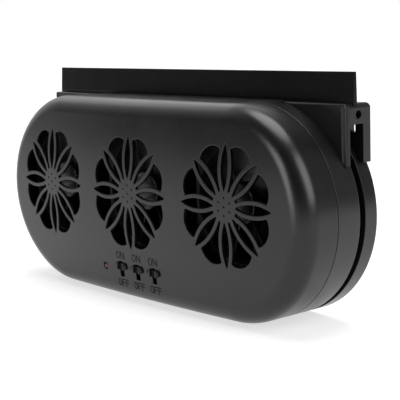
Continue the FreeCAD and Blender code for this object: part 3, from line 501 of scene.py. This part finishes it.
def build_front_cover():
    verts, norms, faces = [], [], []

    def add(x, d, z, n):
        verts.append(P(x, d, z))
        norms.append(Vector(n).normalized())
        return len(verts) - 1

    ring_outer = [contact(cx, u) for cx, u in SPINE]
    # 2D layout for the triangulation: grille loops pushed out by their round, plus the contact outline
    pts2, edges2 = [], []
    loop_ids = []
    for pts, re in loops:
        nn = loop_normals(pts)
        base = len(pts2)
        for p, n in zip(pts, nn):
            pts2.append(Vector((p[0] + n.x * re, p[1] + n.y * re)))
        m = len(pts)
        edges2 += [(base + i, base + (i + 1) % m) for i in range(m)]
        loop_ids.append((base, m))
    ob = len(pts2)
    for (cx, u), (al, rho, dc) in zip(SPINE, ring_outer):
        pts2.append(Vector((cx + u[0] * rho, u[1] * rho)))
    m = len(SPINE)
    edges2 += [(ob + i, ob + (i + 1) % m) for i in range(m)]
    # free points that keep the triangles even
    s = 4.0
    nx, nz = int(160 / s), int(70 / s)
    polys = [[pts2[b + i] for i in range(k)] for b, k in loop_ids]
    boxes = [(min(p.x for p in q) - 1.5, max(p.x for p in q) + 1.5, min(p.y for p in q) - 1.5, max(p.y for p in q) + 1.5) for q in polys]
    for i in range(-nx, nx + 1):
        for j in range(-nz, nz + 1):
            x, z = i * s + (0.5 * s if j % 2 else 0), j * s
            dx = max(abs(x) - A, 0)
            if math.hypot(dx, z) > R_END - RF - 1.5:
                continue
            near = False
            for xc in FANS:
                if math.hypot(x - xc, z - Z_FAN) < 42.0:
                    near = True
            if near or any(b[0] < x < b[1] and b[2] < z < b[3] for b in boxes):
                continue
            pts2.append(Vector((x, z)))
    res = delaunay_2d_cdt(pts2, edges2, [], 0, 1e-6, True)
    rv, rf, orig = res[0], res[2], res[3]
    back = {}
    for i, os_ in enumerate(orig):
        for o_ in os_:
            back.setdefault(o_, i)
    # keep triangles in the material: outside every opening and inside the outline
    def inside(poly, x, z):
        c = False
        for i in range(len(poly)):
            a, b = poly[i - 1], poly[i]
            if (a.y > z) != (b.y > z) and x < (b.x - a.x) * (z - a.y) / (b.y - a.y) + a.x:
                c = not c
        return c
    tboxes = [(min(p.x for p in q), max(p.x for p in q), min(p.y for p in q), max(p.y for p in q)) for q in polys]
    keep = []
    for f in rf:
        cx = sum(rv[i].x for i in f) / len(f)
        cz = sum(rv[i].y for i in f) / len(f)
        dx = max(abs(cx) - A, 0)
        rho = math.hypot(dx, cz)
        if rho > R_END - RF + RF * 0.35:
            continue
        if any(b[0] < cx < b[1] and b[2] < cz < b[3] and inside(q, cx, cz) for q, b in zip(polys, tboxes)):
            continue
        keep.append(f)
    used = sorted({i for f in keep for i in f})
    fo, fi = {}, {}
    for i in used:
        x, z = rv[i].x, rv[i].y
        n = dome_n(x, z)
        fo[i] = add(x, dome(x, z), z, n)
        fi[i] = add(x, dome(x, z) + WALL, z, -n)
    for f in keep:
        a = [fo[i] for i in f]
        b = [fi[i] for i in reversed(f)]
        # counter-clockwise in (x, z) faces +y, so the outer side is reversed
        faces.append(tuple(reversed(a)))
        faces.append(tuple(reversed(b)))
    # openings
    SEG = 4
    for (pts, re), (b0, k) in zip(loops, loop_ids):
        nn = loop_normals(pts)
        rings = [[fo[back[b0 + i]] for i in range(k)]]
        for q in range(1, SEG + 1):
            th = math.pi / 2 * q / SEG
            row = []
            for p, n in zip(pts, nn):
                off = re * (1 - math.sin(th))
                x, z = p[0] + n.x * off, p[1] + n.y * off
                dn = dome_n(x, z)
                nv = Vector((-n.x * math.sin(th), -math.cos(th), -n.y * math.sin(th)))
                row.append(add(x, dome(x, z) + re * (1 - math.cos(th)), z, nv))
            rings.append(row)
        rb = min(re, 0.25)
        for q in range(0, 3):
            th = math.pi / 2 * q / 2
            row = []
            for p, n in zip(pts, nn):
                off = rb * (1 - math.cos(th))
                x, z = p[0] + n.x * off, p[1] + n.y * off
                nv = Vector((-n.x * math.cos(th), math.sin(th), -n.y * math.cos(th)))
                row.append(add(x, dome(x, z) + WALL - rb + rb * math.sin(th), z, nv))
            rings.append(row)
        rings.append([fi[back[b0 + i]] for i in range(k)])
        for ra, rb_ in zip(rings[:-1], rings[1:]):
            for i in range(k):
                j = (i + 1) % k
                faces.append((ra[i], ra[j], rb_[j], rb_[i]))
    # rolled edge, side wall, rim, and the same inside
    NS = 14
    out_rings = [[fo[back[ob + i]] for i in range(m)]]
    rim = 0.35
    for q in range(1, NS + 1):
        row = []
        for (cx, u), (al, rho, dc) in zip(SPINE, ring_outer):
            th = al + (math.pi / 2 - al) * q / NS
            r_ = R_END - RF + RF * math.sin(th)
            row.append(add(cx + u[0] * r_, dc - RF * math.cos(th), u[1] * r_, (u[0] * math.sin(th), -math.cos(th), u[1] * math.sin(th))))
        out_rings.append(row)
    for d, off, th in [(24.0, 0, 0), (D_FRONT_END - rim, 0, 0)] + [(D_FRONT_END - rim + rim * math.sin(t), rim * (1 - math.cos(t)), t) for t in (math.pi / 6, math.pi / 3, math.pi / 2)]:
        out_rings.append([add(cx + u[0] * (R_END - off), d, u[1] * (R_END - off), (u[0] * math.cos(th), math.sin(th), u[1] * math.cos(th))) for cx, u in SPINE])
    out_rings.append([add(cx + u[0] * (R_END - WALL), D_FRONT_END, u[1] * (R_END - WALL), (0, 1, 0)) for cx, u in SPINE])
    out_rings.append([add(cx + u[0] * (R_END - WALL), D_FRONT_END - 0.001, u[1] * (R_END - WALL), (-u[0], 0, -u[1])) for cx, u in SPINE])
    out_rings.append([add(cx + u[0] * (R_END - WALL), 24.0, u[1] * (R_END - WALL), (-u[0], 0, -u[1])) for cx, u in SPINE])
    for q in range(NS, 0, -1):
        row = []
        for (cx, u), (al, rho, dc) in zip(SPINE, ring_outer):
            th = al + (math.pi / 2 - al) * q / NS
            r_ = R_END - RF + (RF - WALL) * math.sin(th)
            row.append(add(cx + u[0] * r_, dc - (RF - WALL) * math.cos(th), u[1] * r_, (-u[0] * math.sin(th), math.cos(th), -u[1] * math.sin(th))))
        out_rings.append(row)
    out_rings.append([fi[back[ob + i]] for i in range(m)])
    for ra, rb_ in zip(out_rings[:-1], out_rings[1:]):
        for i in range(m):
            j = (i + 1) % m
            faces.append((ra[i], ra[j], rb_[j], rb_[i]))
    return verts, norms, faces


def make_object(name, verts, norms, faces, mat, body, slot_name, *replaced):
    me = bpy.data.meshes.new(name)
    me.from_pydata([tuple(v) for v in verts], [], faces)
    me.update()
    bm = bmesh.new()
    bm.from_mesh(me)
    bmesh.ops.recalc_face_normals(bm, faces=bm.faces)
    bm.to_mesh(me)
    bm.free()
    for p in me.polygons:
        p.use_smooth = True
    if norms is not None:
        me.normals_split_custom_set_from_vertices([tuple(n) for n in norms])
    me.materials.append(mat)
    o = bpy.data.objects.new(name, me)
    bpy.context.scene.collection.objects.link(o)
    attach(o, body)
    if replaced:
        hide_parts(*replaced)
    return o


v, n, f = build_front_cover()
cover = make_object("front_cover_shell", v, n, f, M["front"], "housing", "housing_plastic", "front_cover")

# --------------------------------------------------------------------------
# slide knobs: satin wings and a middle ridge painted near-black, which paints the shade on the ridge face
# --------------------------------------------------------------------------
def build_knob(side, xc):
    node = NODES["switch_knob_" + side]
    me = node.data.copy()
    me.name = "knob_" + side
    me.materials.clear()
    me.materials.append(M["knob"])
    me.materials.append(M["ridge"])
    o = bpy.data.objects.new("knob_" + side, me)
    bpy.context.scene.collection.objects.link(o)
    bm = bmesh.new()
    bm.from_mesh(me)
    for x_ in (xc - 2.3, xc + 2.3):
        geom = bm.verts[:] + bm.edges[:] + bm.faces[:]
        bmesh.ops.bisect_plane(bm, geom=geom, dist=1e-7, plane_co=(x_ * MM, 0, 0), plane_no=(1, 0, 0))
    bmesh.ops.remove_doubles(bm, verts=bm.verts[:], dist=2e-6)
    bmesh.ops.dissolve_degenerate(bm, edges=bm.edges[:], dist=1e-6)
    # faces in the middle strip take the darker ridge material, painted shade on the ridge face
    for f_ in bm.faces:
        c_ = f_.calc_center_median()
        f_.material_index = 1 if abs(c_.x / MM - xc) < 2.42 else 0
    bm.to_mesh(me)
    bm.free()
    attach(o, "switch_" + side)
    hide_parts("switch_knob_" + side)
    return o


for side, x in zip(("left", "center", "right"), SW_X):
    build_knob(side, x)

# --------------------------------------------------------------------------
# ON and OFF beside the switches: thin raised strokes that follow the crown
# --------------------------------------------------------------------------
def glyph(ch, w, h):
    if ch == "O":
        return [[(0.5 * w * math.sin(a), 0.5 * h * math.cos(a)) for a in [2 * math.pi * i / 32 for i in range(33)]]]
    x0, x1, z0, z1 = -w / 2, w / 2, -h / 2, h / 2
    if ch == "N":
        return [[(x0, z0), (x0, z1)], [(x0, z1), (x1, z0)], [(x1, z0), (x1, z1)]]
    return [[(x0, z0), (x0, z1)], [(x0, z1), (x1, z1)], [(x0, 0.06 * h), (x0 + 0.82 * w, 0.06 * h)]]


def word(name, text, xc, zc, w, h, gap, sw=0.62):
    verts, faces = [], []
    total = len(text) * w + (len(text) - 1) * gap
    for i, ch in enumerate(text):
        ox = xc - total / 2 + w / 2 + i * (w + gap)
        for line in glyph(ch, w, h):
            pts = [line[0]]
            for a_, b_ in zip(line[:-1], line[1:]):
                n_ = max(int(math.dist(a_, b_) / 0.5), 1)
                pts += [(a_[0] + (b_[0] - a_[0]) * q / n_, a_[1] + (b_[1] - a_[1]) * q / n_) for q in range(1, n_ + 1)]
            closed = math.dist(pts[0], pts[-1]) < 1e-6
            if closed:
                pts = pts[:-1]
            m_ = len(pts)
            rings = []
            for k in range(m_):
                pa = Vector(pts[k - 1] if (closed or k) else pts[k])
                pb = Vector(pts[(k + 1) % m_] if (closed or k < m_ - 1) else pts[k])
                t = (pb - pa).normalized()
                nv = Vector((-t.y, t.x))
                c = Vector(pts[k])
                if not closed and k == 0:
                    c = c - t * sw / 2
                if not closed and k == m_ - 1:
                    c = c + t * sw / 2
                row = []
                for off, up_ in ((-sw / 2, -0.05), (-sw / 2, 0.04), (-sw / 2 + 0.07, 0.10), (sw / 2 - 0.07, 0.10), (sw / 2, 0.04), (sw / 2, -0.05)):
                    x_, z_ = ox + c.x + nv.x * off, zc + c.y + nv.y * off
                    verts.append(P(x_, dome(x_, z_) - up_, z_))
                    row.append(len(verts) - 1)
                rings.append(row)
            span = m_ if closed else m_ - 1
            for k in range(span):
                ra, rb_ = rings[k], rings[(k + 1) % m_]
                for q in range(6):
                    faces.append((ra[q], ra[(q + 1) % 6], rb_[(q + 1) % 6], rb_[q]))
            if not closed:
                faces.append(tuple(rings[0]))
                faces.append(tuple(reversed(rings[-1])))
    return make_object(name, verts, None, faces, M["print"], "housing", "housing_plastic")


for i, x in enumerate(SW_X):
    word("label_on_%d" % (i + 1), "ON", x, -37.6, 3.7, 4.6, 1.3)
    word("label_off_%d" % (i + 1), "OFF", x, -57.4, 3.0, 4.6, 1.15)

# --------------------------------------------------------------------------
# stage, light, camera
# --------------------------------------------------------------------------
fl = bpy.data.meshes.new("floor")
fl.from_pydata([(-12, -12, -0.0005), (12, -12, -0.0005), (12, 12, -0.0005), (-12, 12, -0.0005)], [], [(0, 1, 2, 3)])
floor = bpy.data.objects.new("floor", fl)
bpy.context.scene.collection.objects.link(floor)
fm = bpy.data.materials.new("pale_floor")
nt, b = nodes_of(fm)
b.inputs["Base Color"].default_value = (0.42, 0.42, 0.42, 1)
b.inputs["Roughness"].default_value = 0.9
b.inputs["Specular IOR Level"].default_value = 0.1
b.inputs["Emission Color"].default_value = (1, 1, 1, 1)
b.inputs["Emission Strength"].default_value = 0.64
fl.materials.append(fm)

w = bpy.data.worlds.new("studio")
bpy.context.scene.world = w
w.use_nodes = True
nt = w.node_tree
nt.nodes.clear()
wout = nt.nodes.new("ShaderNodeOutputWorld")
bg = nt.nodes.new("ShaderNodeBackground")
bg2 = nt.nodes.new("ShaderNodeBackground")
mixs = nt.nodes.new("ShaderNodeMixShader")
lp = nt.nodes.new("ShaderNodeLightPath")
tc = nt.nodes.new("ShaderNodeTexCoord")
sep = nt.nodes.new("ShaderNodeSeparateXYZ")
nt.links.new(tc.outputs["Generated"], sep.inputs[0])
back = ramp(nt, sep.outputs["Y"], -0.62, -0.15, W_FRONT, W_BACK)
tilt = nt.nodes.new("ShaderNodeMath")
tilt.operation = "MULTIPLY_ADD"
nt.links.new(sep.outputs["X"], tilt.inputs[0])
tilt.inputs[1].default_value = 1.0
nt.links.new(sep.outputs["Z"], tilt.inputs[2])
high = ramp(nt, tilt.outputs[0], 0.10, 0.42, 1.0, 0.17)
prod = nt.nodes.new("ShaderNodeMath")
prod.operation = "MULTIPLY"
nt.links.new(back, prod.inputs[0])
nt.links.new(high, prod.inputs[1])
nt.links.new(prod.outputs[0], bg.inputs["Strength"])
bg.inputs["Color"].default_value = (1, 1, 1, 1)
bg2.inputs["Color"].default_value = (1, 1, 1, 1)
bg2.inputs["Strength"].default_value = 1.0
nt.links.new(lp.outputs["Is Camera Ray"], mixs.inputs[0])
nt.links.new(bg.outputs[0], mixs.inputs[1])
nt.links.new(bg2.outputs[0], mixs.inputs[2])
nt.links.new(mixs.outputs[0], wout.inputs[0])
bpy.context.scene.view_settings.view_transform = "Standard"


def aim(az, el):
    a, e = math.radians(az), math.radians(el)
    return Vector((math.sin(a) * math.cos(e), -math.cos(a) * math.cos(e), math.sin(e)))


def area(name, az, el, dist, sx, sy, radiance, target=(0, 0, 0.07)):
    """Softbox seen from the object at azimuth az (0 is straight in front, 90 to the right) and elevation el."""
    l = bpy.data.lights.new(name, "AREA")
    l.shape = "RECTANGLE"
    l.size, l.size_y = sx, sy
    l.energy = radiance * math.pi * sx * sy
    o = bpy.data.objects.new(name, l)
    back = aim(az, el)
    o.location = Vector(target) + back * dist
    o.rotation_mode = "QUATERNION"
    o.rotation_quaternion = back.to_track_quat("Z", "Y")
    bpy.context.scene.collection.objects.link(o)
    o.visible_camera = False
    return o


def sun(name, az, el, strength, angle):
    l = bpy.data.lights.new(name, "SUN")
    l.energy = strength
    l.angle = math.radians(angle)
    o = bpy.data.objects.new(name, l)
    o.rotation_mode = "QUATERNION"
    o.rotation_quaternion = aim(az, el).to_track_quat("Z", "Y")
    bpy.context.scene.collection.objects.link(o)
    return o


sun("overhead_softbox", -150, 80, 2.6, 46)
area("side_softbox", 100, 31, 1.7, 0.95, 1.3, 4.8)
area("front_softbox", -2, 14, 1.6, 0.62, 0.96, 5.6)
area("left_softbox", -106, 36, 1.8, 1.1, 0.6, 1.0)

cam = bpy.data.cameras.new("camera")
co = bpy.data.objects.new("camera", cam)
bpy.context.scene.collection.objects.link(co)
bpy.context.scene.camera = co
F_PX, YAW, PITCH_, ROLL = 1141.67, math.radians(49.601), math.radians(8.804), math.radians(-1.854)
cam.sensor_width = 36.0
cam.lens = F_PX / 400.0 * 36.0
fwd = Vector((-math.sin(YAW) * math.cos(PITCH_), math.cos(YAW) * math.cos(PITCH_), -math.sin(PITCH_)))
right = Vector((math.cos(YAW), math.sin(YAW), 0))
up = right.cross(fwd)
r2 = right * math.cos(ROLL) + up * math.sin(ROLL)
u2 = -right * math.sin(ROLL) + up * math.cos(ROLL)
mw = Matrix((r2, u2, -fwd)).transposed().to_4x4()
mw.translation = Vector((0.612657, -0.491695, 0.188529))
co.matrix_world = mw
cam.clip_start = 0.01
